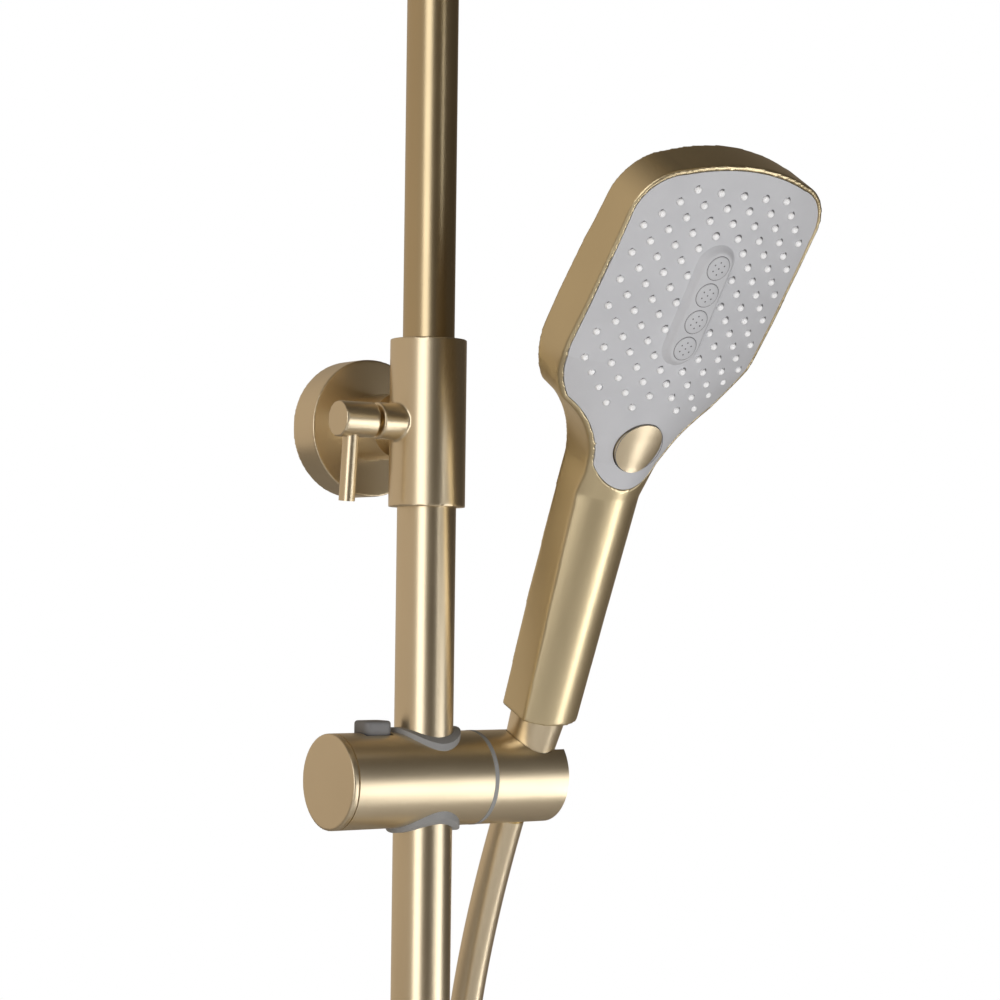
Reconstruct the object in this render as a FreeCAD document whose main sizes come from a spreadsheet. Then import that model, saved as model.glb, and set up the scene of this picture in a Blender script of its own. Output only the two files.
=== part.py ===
"""Rainfall shower column: telescopic riser with an overhead rain head, a clamp bracket on the
wall, a sliding handset holder, a handset on its hose, and a lower bracket with the diverter.

Millimetres, +Z up, +Y towards the wall.  The origin is the centre of the upper wall flange's
back, on the wall, and the column stands column_reach in front of it.
"""
import FreeCAD
import Part

import math
import os
import re

import Sketcher
from FreeCAD import Placement, Rotation, Vector

doc = FreeCAD.newDocument("ShowerColumn")

# ---------------------------------------------------------------- driving dimensions
SIZES = dict(
    # wall brackets
    column_reach=60.0, bracket_drop=700.0, flange_radius=30.0, flange_depth=16.5,
    flange_wall=1.6, plate_radius=24.0, plate_thick=3.0, plate_screw_circle=36.0,
    plate_screw_radius=2.5, hub_radius=6.0, hub_length=32.0, boss_radius=14.25,
    boss_end=39.0, neck_radius=10.75, spigot_radius=10.0, grub_radius=2.0, grub_length=6.0,
    # sleeves that hold the tubes
    sleeve_radius=16.25, sleeve_height=71.0, socket_depth=23.5, socket_step=0.2,
    collar_height=7.5, bush_length=19.0, side_boss_radius=7.75, side_boss_end=26.4,
    # tubes
    riser_radius=11.0, riser_wall=1.2, tube_radius=12.5, tube_wall=1.2, arm_height=400.0,
    arm_reach=340.0, riser_bend=60.0, drop_bend=45.0, riser_tail=245.0, arm_drop=60.0,
    # clearances
    joint_gap=0.05, running_gap=0.08, slide_gap=0.25, face_gap=0.4,
    # levers
    lever_radius=7.5, lever_gap=2.0, lever_length=16.6, pin_radius=3.4, pin_reach=34.0,
    pin_inset=7.0, pin_seat=3.0, pin_lean=5.5, screw_radius=4.0, screw_seat=6.0,
    shoe_length=4.0, shoe_travel=0.5, spool_radius=6.0, spool_reach=16.0, port_radius=4.5,
    # water fittings, G 1/2
    thread_radius=10.48, thread_relief=0.5, thread_length=12.0, nut_circumradius=14.4, nut_web=2.0,
    washer_thick=2.0, bore_radius=6.0, outlet_nut_length=28.0, outlet_nut_radius=12.0,
    outlet_nut_tip=9.0, outlet_gap=2.0, tail_bore=4.0,
    # riser piston
    piston_length=15.0, piston_spigot=30.0, ring_radius=0.9, ring_inset=4.0,
    # ball joint and rain head
    ball_drop=24.0, ball_radius=9.0, ball_opening=7.4, ball_lip=6.0, ball_nut_radius=14.0,
    ball_nut_length=26.5, cup_wall=1.12, stem_radius=5.0, head_drop=11.5, head_radius=125.0,
    head_rim=7.0, head_dome=9.0, head_shoulder=24.0, shoulder_drop=4.0, head_wall=1.5,
    head_plate_thick=2.0, rain_nozzle_radius=1.6, nozzle_proud=1.5, rain_ring_step=20.0,
    # slider and its grip
    slider_drop=150.0, slider_radius=20.0, slider_left=47.4, slider_right=23.3, cap_thick=3.2,
    cap_spigot=4.0, gasket_radius=15.6, gasket_proud=2.0, liner_radius=14.0, brake_radius=9.0,
    brake_length=13.0, brake_travel=1.5, spring_radius=3.2, spring_wire=0.8,
    button_left=32.4, button_length=13.2, button_width=12.0, button_thick=8.0,
    button_proud=5.0, button_floor=10.2, wedge_length=5.0, wedge_width=4.8, wedge_tip=7.0,
    # swivelling holder
    swivel_thick=2.0, swivel_proud=0.1, axle_radius=4.0, axle_root=14.0, axle_shank=18.2,
    axle_head=3.3, axle_head_radius=5.6, holder_right=62.2, seat_offset=51.0, seat_tilt=24.5,
    seat_gap=0.3, slot_top=9.98, slot_bottom=7.33, slot_reach=22.0,
    # cone nut and hose
    nut_top=30.3, nut_bottom=14.0, nut_top_radius=11.9, nut_bottom_radius=9.2,
    hose_radius=7.0, tail_end=20.0,
    # handset, heights along the seat's axis from the slider's centreline
    face_height=242.7, face_forward=28.25, face_angle=9.0, face_half=49.3, face_top=43.3,
    face_corner=31.0, neck_half=16.6, handle_half=13.9, rim_width=2.2, cover_thick=2.6,
    cover_inset=0.3, tongue_radius=18.6, select_drop=84.8, select_radius=11.2,
    select_thick=5.0, select_depth=9.0, select_travel=2.5, select_spring_radius=8.0,
    jet_pitch=12.14, jet_radius=5.2, spray_pitch=11.46,
    spray_radius=1.45, spray_proud=0.9, nipple_length=30.0,
)

sheet = doc.addObject("Spreadsheet::Sheet", "Sizes")
for row, (alias, number) in enumerate(SIZES.items(), start=1):
    sheet.set("A%d" % row, alias)
    sheet.set("B%d" % row, str(number))
    sheet.setAlias("B%d" % row, alias)
doc.recompute()


def size(entry):
    """The number that a sum of aliases and plain numbers comes to, such as "a - 2*b"."""
    total = 0.0
    sign = 1.0
    for word in entry.split():
        if word in ("+", "-"):
            sign = 1.0 if word == "+" else -1.0
            continue
        term = sign
        for factor in word.split("*"):
            term *= float(sheet.get(factor)) if factor[0].isalpha() else float(factor)
        total += term
    return total


def bound(entry):
    """The same sum as an expression on the sheet's cells."""
    return re.sub(r"[a-z][a-z_]+", lambda word: "Sizes." + word.group(), entry)


nodes = []
ALONG = {
    "+x": Rotation(Vector(0, 1, 0), 90),
    "-x": Rotation(Vector(0, 1, 0), -90),
    "+y": Rotation(Vector(1, 0, 0), -90),
    "-y": Rotation(Vector(1, 0, 0), 90),
    "+z": Rotation(),
    "-z": Rotation(Vector(1, 0, 0), 180),
}


def at(x=0.0, y=0.0, z=0.0, along="+z"):
    """A placement at a point, with local Z pointing along a world direction."""
    return Placement(Vector(x, y, z), ALONG[along])


# ---------------------------------------------------------------- shape helpers
def node(item, label):
    """Marks a document object as a finished sub-part."""
    item.Label = label
    nodes.append(item)
    return item


def primitive(kind, place, **expressions):
    item = doc.addObject("Part::" + kind, kind)
    for name, entry in expressions.items():
        item.setExpression(name, bound(entry))
    item.Placement = place
    return item


def cylinder(radius, length, place):
    return primitive("Cylinder", place, Radius=radius, Height=length)


def box(length, width, height, place):
    """A box that stands on its placement, centred on it in X and Y."""
    shift = Placement(Vector(-size(length) / 2, -size(width) / 2, 0), Rotation())
    return primitive("Box", place.multiply(shift), Length=length, Width=width, Height=height)


def quarter_bend(radius, bend, centre, start, end):
    """A quarter of a torus from one direction to another, seen from its centre."""
    turn = Rotation(start, end, start.cross(end))
    item = primitive("Torus", Placement(centre, turn), Radius1=bend, Radius2=radius)
    item.Angle3 = 90
    return item


def cut(base, *tools):
    """The base with each tool taken away."""
    for tool in tools:
        item = doc.addObject("Part::Cut", "Cut")
        item.Base = base
        item.Tool = tool
        base = item
    return base


def joined(*shapes):
    item = doc.addObject("Part::MultiFuse", "Fusion")
    item.Shapes = list(shapes)
    item.Refine = True
    return item


def shared(*shapes):
    item = doc.addObject("Part::MultiCommon", "Common")
    item.Shapes = list(shapes)
    return item


def outline(body, corners):
    """A closed sketch whose corners are pairs of expressions; "0" lies on the axis."""
    plane = [part for part in body.Origin.OriginFeatures if part.Role == "XZ_Plane"][0]
    sketch = body.newObject("Sketcher::SketchObject", "Sketch")
    sketch.AttachmentSupport = [(plane, "")]
    sketch.MapMode = "FlatFace"
    spots = [Vector(size(radius), size(height), 0) for radius, height in corners]
    for index, spot in enumerate(spots):
        sketch.addGeometry(Part.LineSegment(spot, spots[(index + 1) % len(spots)]), False)
    for index, corner in enumerate(corners):
        following = (index + 1) % len(spots)
        sketch.addConstraint(Sketcher.Constraint("Coincident", index, 2, following, 1))
        for kind, axis, entry in zip(("DistanceX", "DistanceY"), (-2, -1), corner):
            if entry == "0":
                sketch.addConstraint(Sketcher.Constraint("PointOnObject", index, 1, axis))
                continue
            limit = Sketcher.Constraint(kind, -1, 1, index, 1, size(entry))
            number = sketch.addConstraint(limit)
            sketch.setExpression("Constraints[%d]" % number, bound(entry))
    return sketch


def turned(place, *corners):
    """A solid of revolution about local Z; each corner is (radius, height)."""
    body = doc.addObject("PartDesign::Body", "Turned")
    sketch = outline(body, corners)
    spin = body.newObject("PartDesign::Revolution", "Revolution")
    spin.Profile = sketch
    spin.ReferenceAxis = (sketch, ["V_Axis"])
    spin.Angle = 360
    body.Placement = place
    return body


def ring(inner, outer, thick, place):
    return turned(place, (inner, "0"), (outer, "0"), (outer, thick), (inner, thick))


def feature(shape, place=Placement()):
    """A shape made by Part's own functions, then placed."""
    item = doc.addObject("Part::Feature", "Shape")
    item.Shape = shape
    item.Placement = place
    return item


# ---------------------------------------------------------------- places that pieces share
column_y = -size("column_reach")
half_sleeve = size("sleeve_height") / 2
upper_z = 0.0
lower_z = -size("bracket_drop")
slider_z = -size("slider_drop")
lever_x = -size("side_boss_end + lever_gap")
socket_top = -half_sleeve + size("socket_depth")
socket_floor = lower_z + half_sleeve - size("socket_depth")
outlet_z = lower_z - half_sleeve
hose_outlet_z = outlet_z - size("outlet_gap + outlet_nut_length + 0.5*washer_thick + 3.5")
arm_y = column_y - size("arm_reach")
arm_end_z = size("arm_height - arm_drop")
ball_z = arm_end_z - size("ball_drop")
head_z = ball_z - size("head_drop")
seat = Placement(
    Vector(size("seat_offset"), column_y, slider_z), Rotation(Vector(1, 0, 0), size("seat_tilt"))
)


def in_seat(x=0.0, y=0.0, z=0.0, along="+z"):
    """A place in the tilted frame of the holder's seat, whose Z is the seat's axis."""
    return seat.multiply(at(x, y, z, along))


# ---------------------------------------------------------------- wall brackets
def wall_flange(label, height):
    front = "flange_depth - flange_wall"
    hole = "spigot_radius + joint_gap"
    rim = "flange_radius - flange_wall"
    body = turned(
        at(0, 0, height, "-y"),
        (hole, front), (hole, "flange_depth"), ("flange_radius", "flange_depth"),
        ("flange_radius", "0"), (rim, "0"), (rim, front),
    )
    return node(body, label)


def neck_to_sleeve(height, bore, start, floor):
    """The turned arm from a flange to a sleeve, its end shaped to the sleeve's side."""
    end = "column_reach - tube_radius + 1"
    if floor is None:
        inside = ((bore, end),)
    else:
        inside = (("0", end), ("0", floor), (bore, floor))
    arm = turned(
        at(0, 0, height, "-y"),
        (bore, start), ("spigot_radius", start), ("spigot_radius", "flange_depth"),
        ("boss_radius", "flange_depth"), ("boss_radius", "boss_end"),
        ("neck_radius", "boss_end"), ("neck_radius", end), *inside
    )
    outside = at(0, column_y, height - half_sleeve)
    return cut(arm, cylinder("sleeve_radius", "sleeve_height", outside))


def wall_brackets():
    wall_flange("wall_flange_upper", upper_z)
    wall_flange("wall_flange_lower", lower_z)

    plate = turned(
        at(0, 0, upper_z, "-y"),
        ("0", "0"), ("plate_radius", "0"), ("plate_radius", "plate_thick"),
        ("hub_radius", "plate_thick"), ("hub_radius", "hub_length"), ("0", "hub_length"),
    )
    screw_x = size("plate_screw_circle") / 2
    holes = [
        cylinder("plate_screw_radius", "plate_thick", at(side * screw_x, 0, upper_z, "-y"))
        for side in (-1, 1)
    ]
    node(cut(plate, *holes), "wall_plate_upper")

    arm = neck_to_sleeve(
        upper_z, "hub_radius + joint_gap", "plate_thick + face_gap", "hub_length + 1"
    )
    grub_y = -size("hub_length - grub_length")
    hole = cylinder("grub_radius + 0.2*joint_gap", "boss_radius", at(0, grub_y, upper_z, "-z"))
    node(cut(arm, hole), "bracket_neck_upper")
    grub = cylinder("grub_radius", "grub_length", at(0, grub_y, -size("hub_radius"), "-z"))
    recess_z = -size("hub_radius + grub_length") + size("grub_radius")
    recess = primitive(
        "Prism", at(0, grub_y, recess_z, "-z"), Circumradius="0.5*grub_radius", Height="grub_radius"
    )
    node(cut(grub, recess), "bracket_grub_screw")

    node(neck_to_sleeve(lower_z, "bore_radius", "thread_length", None), "inlet_neck_lower")
    nut = primitive(
        "Prism", at(0, 0, lower_z, "-y"),
        Circumradius="nut_circumradius", Height="thread_length + nut_web",
    )
    washer_y = -size("thread_length - washer_thick")
    thread = cylinder("thread_radius", "thread_length", at(0, 0, lower_z, "-y"))
    undercut = cylinder(
        "thread_radius + thread_relief", "washer_thick", at(0, washer_y, lower_z, "-y")
    )
    hole = cylinder(
        "spigot_radius + joint_gap", "thread_length + nut_web", at(0, 0, lower_z, "-y")
    )
    node(cut(nut, thread, undercut, hole), "inlet_nut")
    washer = ring(
        "bore_radius", "spigot_radius", "washer_thick", at(0, washer_y, lower_z, "-y")
    )
    node(washer, "inlet_washer")


# ---------------------------------------------------------------- sleeves and tubes
def sleeve_blank(height):
    outer = cylinder("sleeve_radius", "sleeve_height", at(0, column_y, height - half_sleeve))
    boss = cylinder("side_boss_radius", "side_boss_end", at(0, column_y, height, "-x"))
    return joined(outer, boss)


def clamp_sleeve():
    socket = cylinder(
        "tube_radius + joint_gap", "socket_depth", at(0, column_y, -half_sleeve)
    )
    bush_bore = cylinder(
        "tube_radius - socket_step", "sleeve_height - socket_depth - collar_height",
        at(0, column_y, socket_top),
    )
    collar_bore = cylinder(
        "riser_radius + slide_gap", "sleeve_height", at(0, column_y, -half_sleeve)
    )
    screw_bore = cylinder(
        "screw_radius + joint_gap", "side_boss_end", at(0, column_y, upper_z, "-x")
    )
    blank = sleeve_blank(upper_z)
    node(cut(blank, socket, bush_bore, collar_bore, screw_bore), "clamp_sleeve")

    bush_z = half_sleeve - size("collar_height + bush_length")
    bush = ring(
        "riser_radius + running_gap", "tube_radius - socket_step - joint_gap", "bush_length",
        at(0, column_y, bush_z),
    )
    node(bush, "guide_bush")


def column_tube():
    length = "bracket_drop - sleeve_height + 2*socket_depth"
    tube = ring("tube_radius - tube_wall", "tube_radius", length, at(0, column_y, socket_floor))
    node(tube, "column_tube")


def arm_run(radius):
    """The riser's whole path at one radius: up, over, out and down."""
    riser_top = size("arm_height - riser_bend")
    out_y = column_y - size("riser_bend")
    over_y = arm_y + size("drop_bend")
    up, out = Vector(0, 0, 1), Vector(0, -1, 0)
    pieces = [
        cylinder(
            radius, "riser_tail - 2*joint_gap + arm_height - riser_bend",
            at(0, column_y, riser_top - size("riser_tail - 2*joint_gap + arm_height - riser_bend")),
        ),
        quarter_bend(radius, "riser_bend", Vector(0, out_y, riser_top), -out, up),
        cylinder(
            radius, "arm_reach - riser_bend - drop_bend", at(0, out_y, size("arm_height"), "-y")
        ),
        quarter_bend(
            radius, "drop_bend", Vector(0, over_y, size("arm_height - drop_bend")), up, out
        ),
        cylinder(radius, "arm_drop - drop_bend", at(0, arm_y, arm_end_z)),
    ]
    return joined(*pieces)


def riser():
    tube = cut(arm_run("riser_radius"), arm_run("riser_radius - riser_wall"))
    node(tube, "riser_tube")

    outer = "tube_radius - tube_wall - joint_gap"
    groove = "tube_radius - tube_wall - 2*ring_radius - joint_gap"
    spigot = "riser_radius - riser_wall - joint_gap"
    top = "piston_length + piston_spigot"
    low = "ring_inset"
    high = "piston_length - ring_inset"
    piston = turned(
        at(0, column_y, -size("riser_tail + piston_length")),
        ("bore_radius", "0"), (outer, "0"),
        (outer, low + " - ring_radius"), (groove, low + " - ring_radius"),
        (groove, low + " + ring_radius"), (outer, low + " + ring_radius"),
        (outer, high + " - ring_radius"), (groove, high + " - ring_radius"),
        (groove, high + " + ring_radius"), (outer, high + " + ring_radius"),
        (outer, "piston_length"), (spigot, "piston_length"), (spigot, top),
        ("bore_radius", top),
    )
    node(piston, "riser_piston")
    rings = [
        primitive(
            "Torus", at(0, column_y, size(inset) - size("riser_tail + piston_length")),
            Radius1="tube_radius - tube_wall - joint_gap - ring_radius", Radius2="ring_radius",
        )
        for inset in (low, high)
    ]
    node(joined(*rings), "piston_o_rings")


# ---------------------------------------------------------------- levers
def lever(height, prefix, lean):
    """A round head on the screw's end with a hanging pin, at one of the side bosses."""
    head = cylinder("lever_radius", "lever_length", at(lever_x, column_y, height, "-x"))
    screw_hole = cylinder("screw_radius", "screw_seat", at(lever_x, column_y, height, "-x"))
    pin_x = lever_x - size("lever_length - pin_inset")
    hang = Rotation(Vector(1, 0, 0), 180 + lean)
    top = Vector(pin_x, column_y, height) + hang.multVec(Vector(0, 0, size("pin_seat")))
    pin_place = Placement(top, hang)
    pin_hole = cylinder("pin_radius", "pin_reach - pin_seat", pin_place)
    node(cut(head, screw_hole, pin_hole), prefix + "_lever_head")
    node(cylinder("pin_radius", "pin_reach - pin_seat", pin_place), prefix + "_lever_pin")


def clamp():
    shoe_x = -size("riser_radius + running_gap")
    shoe = cylinder("screw_radius", "shoe_length", at(shoe_x, column_y, upper_z, "-x"))
    node(shoe, "clamp_shoe")
    screw_x = shoe_x - size("shoe_length + shoe_travel + joint_gap")
    screw = cylinder(
        "screw_radius",
        "side_boss_end + lever_gap + screw_seat - riser_radius - running_gap - shoe_length"
        " - shoe_travel - joint_gap",
        at(screw_x, column_y, upper_z, "-x"),
    )
    node(screw, "clamp_screw")
    lever(upper_z, "clamp", size("pin_lean"))


def diverter():
    socket = cylinder(
        "tube_radius + joint_gap", "socket_depth", at(0, column_y, socket_floor)
    )
    waterway = cylinder("bore_radius", "sleeve_height", at(0, column_y, outlet_z))
    inlet = cylinder("bore_radius", "sleeve_radius", at(0, column_y, lower_z, "+y"))
    outlet = cylinder(
        "spigot_radius", "thread_length", at(0, column_y, outlet_z)
    )
    spool_x = size("sleeve_radius") / 2
    spool_bore = cylinder(
        "spool_radius + joint_gap", "0.5*sleeve_radius + spool_reach",
        at(spool_x, column_y, lower_z, "-x"),
    )
    stem_bore = cylinder(
        "screw_radius + joint_gap", "side_boss_end", at(0, column_y, lower_z, "-x")
    )
    body = cut(sleeve_blank(lower_z), socket, waterway, inlet, outlet, spool_bore, stem_bore)
    node(body, "diverter_body")

    spool = cylinder(
        "spool_radius", "0.5*sleeve_radius + spool_reach - joint_gap",
        at(spool_x - size("joint_gap"), column_y, lower_z, "-x"),
    )
    ports = [
        cylinder("port_radius", "sleeve_radius", at(0, column_y, lower_z, way))
        for way in ("+y", "-z")
    ]
    node(cut(spool, *ports), "diverter_spool")
    stem = cylinder(
        "screw_radius", "side_boss_end + lever_gap + screw_seat - spool_reach",
        at(-size("spool_reach"), column_y, lower_z, "-x"),
    )
    node(stem, "diverter_stem")
    lever(lower_z, "diverter", 0.0)

    thread = "thread_radius - 0.6*joint_gap"
    nipple = turned(
        at(0, column_y, outlet_z + size("thread_length"), "-z"),
        ("bore_radius", "0"), ("spigot_radius", "0"), ("spigot_radius", "thread_length"),
        (thread, "thread_length"), (thread, "2*thread_length"), ("bore_radius", "2*thread_length"),
    )
    node(nipple, "hose_outlet_nipple")
    washer = ring(
        "bore_radius", "spigot_radius", "washer_thick",
        at(0, column_y, outlet_z - size("thread_length"), "-z"),
    )
    node(washer, "outlet_washer")

    seat_depth = "thread_length + 2*washer_thick - outlet_gap"
    nut = turned(
        at(0, column_y, outlet_z - size("outlet_gap"), "-z"),
        ("thread_radius", "0"), ("outlet_nut_radius", "0"),
        ("outlet_nut_radius", "0.4*outlet_nut_length"),
        ("outlet_nut_tip", "outlet_nut_length"), ("hose_radius + joint_gap", "outlet_nut_length"),
        ("hose_radius + joint_gap", seat_depth), ("thread_radius", seat_depth),
    )
    node(nut, "hose_outlet_nut")
    tail_top = outlet_z - size("thread_length + washer_thick")
    tail_length = tail_top - hose_outlet_z
    node(hose_tail(at(0, column_y, tail_top, "-z"), tail_length), "hose_tail_lower")


def hose_tail(place, length):
    """The collared insert on a hose end, from its collar's face to where the hose starts."""
    collar = ring("tail_bore", "spigot_radius", "washer_thick", place)
    stem = primitive("Cylinder", place, Radius="hose_radius")
    stem.Height = length
    bore = primitive("Cylinder", place, Radius="tail_bore")
    bore.Height = length
    return cut(joined(collar, stem), bore)


# ---------------------------------------------------------------- ball joint and rain head
def ball_joint():
    spigot = "riser_radius - riser_wall - joint_gap"
    thread = "thread_radius - 0.6*joint_gap"
    nipple = turned(
        at(0, arm_y, arm_end_z + 10, "-z"),
        ("tail_bore", "0"), (spigot, "0"), (spigot, "10"), ("riser_radius", "10"),
        ("riser_radius", "12"), (thread, "12"), (thread, "21.5"), ("tail_bore", "21.5"),
    )
    node(nipple, "arm_outlet_nipple")
    node(
        ring("tail_bore", "spigot_radius", "1.5", at(0, arm_y, arm_end_z - 11.5, "-z")),
        "filter_washer",
    )

    nut_bottom = ball_z - size("ball_lip")
    blank = cylinder("ball_nut_radius", "ball_nut_length", at(0, arm_y, nut_bottom))
    bore = cylinder("thread_radius", "ball_nut_length", at(0, arm_y, ball_z))
    pocket = primitive("Sphere", at(0, arm_y, ball_z), Radius="ball_radius + running_gap")
    mouth = cylinder("ball_opening", "ball_nut_length", at(0, arm_y, nut_bottom))
    node(cut(blank, bore, pocket, mouth), "ball_nut")

    cup = primitive(
        "Sphere", at(0, arm_y, ball_z), Radius="ball_radius + running_gap + cup_wall"
    )
    hollow = primitive("Sphere", at(0, arm_y, ball_z), Radius="ball_radius + running_gap")
    below = cylinder("ball_nut_radius", "ball_nut_length", at(0, arm_y, ball_z + 3, "-z"))
    mouth = cylinder("stem_radius", "ball_nut_length", at(0, arm_y, ball_z))
    node(cut(cup, hollow, below, mouth), "ball_seat_cup")

    ball = primitive("Sphere", at(0, arm_y, ball_z), Radius="ball_radius")
    stem = cylinder(
        "stem_radius", "head_drop + shoulder_drop", at(0, arm_y, ball_z, "-z")
    )
    bore_top = ball_z + size("ball_radius")
    bore = cylinder("0.6*stem_radius", "2*ball_nut_length", at(0, arm_y, bore_top, "-z"))
    node(cut(joined(ball, stem), bore), "swivel_ball")


def rain_spots():
    """Nozzle places on the rain head: rings that each hold six more than the last."""
    spots = []
    for number in range(1, 6):
        radius = number * size("rain_ring_step")
        for step in range(6 * number):
            angle = 2 * math.pi * step / (6 * number)
            spots.append(Vector(radius * math.cos(angle), radius * math.sin(angle), 0))
    return spots


def rain_head():
    stem_hole = "stem_radius + joint_gap"
    inner_rim = "head_radius - head_wall"
    cover = turned(
        at(0, arm_y, head_z, "-z"),
        (stem_hole, "0"), ("ball_nut_radius", "0"), ("head_shoulder", "shoulder_drop"),
        ("head_radius", "head_dome"), ("head_radius", "head_dome + head_rim"),
        (inner_rim, "head_dome + head_rim"), (inner_rim, "head_dome + head_wall"),
        ("head_shoulder", "shoulder_drop + head_wall"), (stem_hole, "shoulder_drop + head_wall"),
    )
    node(cover, "rain_head_cover")

    plate_radius = size("head_radius - head_wall - joint_gap")
    plate_z = head_z - size("head_dome + head_rim") + 0.5
    thick = size("head_plate_thick")
    hole = size("rain_nozzle_radius + joint_gap")
    edges = [Part.makeCircle(plate_radius)] + [Part.makeCircle(hole, spot) for spot in rain_spots()]
    face = Part.makeFace([Part.Wire(edge) for edge in edges], "Part::FaceMakerBullseye")
    plate = face.extrude(Vector(0, 0, thick))
    node(feature(plate, at(0, arm_y, plate_z)), "rain_head_plate")
    length = thick + 1 + size("nozzle_proud")
    pegs = [
        Part.makeCylinder(size("rain_nozzle_radius"), length, spot) for spot in rain_spots()
    ]
    pegs_z = plate_z - size("nozzle_proud")
    node(feature(Part.makeCompound(pegs), at(0, arm_y, pegs_z)), "rain_nozzles")


# ---------------------------------------------------------------- slider on the column
def slider():
    left_x = -size("slider_left - cap_thick")
    drum_left = at(left_x, column_y, slider_z, "+x")
    drum = cylinder("slider_radius", "slider_left - cap_thick + slider_right", drum_left)
    tube_bore = cylinder(
        "liner_radius + 0.2*joint_gap", "2*slider_radius",
        at(0, column_y, slider_z - size("slider_radius")),
    )
    brake_bore = cylinder("brake_radius + joint_gap", "slider_left - cap_thick", drum_left)
    button_x = -size("button_left") + size("button_length") / 2
    pocket = box(
        "button_length + 2*slide_gap", "button_width + 2*slide_gap", "slider_radius",
        at(button_x, column_y, slider_z + size("button_floor")),
    )
    wedge_x = -size("button_left - button_length + 0.5*wedge_length")
    wedge_hole = box(
        "wedge_length + 4*slide_gap", "wedge_width + 4*slide_gap", "button_floor - wedge_tip + 2",
        at(wedge_x, column_y, slider_z + size("wedge_tip - 1")),
    )
    axle_bore = cylinder(
        "axle_radius", "slider_right", at(size("axle_root"), column_y, slider_z, "+x")
    )
    recess_x = size("slider_right - washer_thick")
    recess = cylinder("2*axle_radius", "washer_thick", at(recess_x, column_y, slider_z, "+x"))
    body = cut(drum, tube_bore, brake_bore, pocket, wedge_hole, axle_bore, recess)
    node(body, "slider_body")

    inner = "brake_radius - joint_gap"
    cap = turned(
        at(left_x + size("cap_spigot"), column_y, slider_z, "-x"),
        ("0", "0"), (inner, "0"), (inner, "cap_spigot"), ("slider_radius", "cap_spigot"),
        ("slider_radius", "cap_spigot + cap_thick"), ("0", "cap_spigot + cap_thick"),
    )
    node(cap, "slider_end_cap")
    gasket("tube_gasket_top", "+z")
    gasket("tube_gasket_bottom", "-z")
    brake(left_x)
    button(button_x, wedge_x)

    swivel = ring(
        "axle_radius + joint_gap", "slider_radius + swivel_proud", "swivel_thick",
        at(size("slider_right"), column_y, slider_z, "+x"),
    )
    node(swivel, "swivel_ring")
    washer = ring(
        "axle_radius + joint_gap", "2*axle_radius - joint_gap", "washer_thick - 2*joint_gap",
        at(recess_x + size("joint_gap"), column_y, slider_z, "+x"),
    )
    node(washer, "wave_washer")
    axle = turned(
        at(size("axle_root"), column_y, slider_z, "+x"),
        ("0", "0"), ("axle_radius", "0"), ("axle_radius", "axle_shank"),
        ("axle_head_radius", "axle_shank"), ("axle_head_radius", "axle_shank + axle_head"),
        ("0", "axle_shank + axle_head"),
    )
    node(axle, "swivel_axle")


def gasket(label, way):
    """A liner round the tube whose saddle lip lies on the outside of the drum."""
    start = at(0, column_y, slider_z, way)
    drum_start = at(-size("slider_left"), column_y, slider_z, "+x")
    reach = "slider_radius + gasket_proud"
    proud_drum = [cylinder(reach, "2*slider_left", drum_start) for _ in range(2)]
    lip = cut(
        shared(cylinder("gasket_radius", "2*slider_radius", start), proud_drum[0]),
        cylinder("slider_radius", "2*slider_left", drum_start),
    )
    sleeve = shared(cylinder("liner_radius", "2*slider_radius", start), proud_drum[1])
    bore = cylinder("tube_radius + running_gap", "2*slider_radius", start)
    window = cylinder(
        "brake_radius + slide_gap", "slider_left", at(0, column_y, slider_z, "-x")
    )
    node(cut(joined(lip, sleeve), bore, window), label)


def brake(left_x):
    """The block that the springs push on to the tube, and the spring behind it."""
    block_end = -size("tube_radius + brake_length")
    block = cylinder(
        "brake_radius", "tube_radius + brake_length", at(0, column_y, slider_z, "-x")
    )
    tube_bore = cylinder(
        "tube_radius + running_gap", "2*slider_radius",
        at(0, column_y, slider_z - size("slider_radius")),
    )
    other_side = box(
        "2*tube_radius", "2*tube_radius", "2*slider_radius",
        at(size("tube_radius") - 8, column_y, slider_z - size("slider_radius")),
    )
    slot = box(
        "brake_length", "wedge_width + 4*slide_gap", "slider_radius",
        at(block_end + 3.5, column_y, slider_z + size("spring_radius") + 0.5),
    )
    pocket = cylinder(
        "spring_radius + slide_gap", "0.5*brake_length", at(block_end, column_y, slider_z, "+x")
    )
    node(cut(block, tube_bore, other_side, slot, pocket), "brake_block")
    cap_face = at(left_x + size("cap_spigot"), column_y, slider_z, "+x")
    reach = "slider_left - cap_thick - cap_spigot - tube_radius - 0.5*brake_length"
    length = reach + " - brake_travel - 2*joint_gap"
    coil = cylinder("spring_radius", length, cap_face)
    hollow = cylinder("spring_radius - spring_wire", length, cap_face)
    node(cut(coil, hollow), "brake_spring")


def button(button_x, wedge_x):
    """The push button in the drum's top, with the wedge that draws the brake back."""
    under = slider_z + size("slider_radius + button_proud - button_thick")
    cap = box(
        "button_length", "button_width", "button_thick", at(button_x, column_y, under)
    )
    wedge = box(
        "wedge_length", "wedge_width", "slider_radius + button_proud - button_thick - wedge_tip",
        at(wedge_x, column_y, slider_z + size("wedge_tip")),
    )
    node(joined(cap, wedge), "slider_button")
    floor = slider_z + size("button_floor")
    spring_x = -size("button_left - spring_radius") + 1
    spring = ring(
        "spring_radius - spring_wire", "spring_radius",
        "slider_radius + button_proud - button_thick - button_floor",
        at(spring_x, column_y, floor),
    )
    node(spring, "button_spring")


# ---------------------------------------------------------------- swivelling holder
def seat_radius(height):
    """The cone nut's radius at a height on the seat's axis."""
    slope = size("nut_top_radius - nut_bottom_radius") / size("nut_top + nut_bottom")
    return size("nut_bottom_radius") + slope * (height + size("nut_bottom"))


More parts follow.
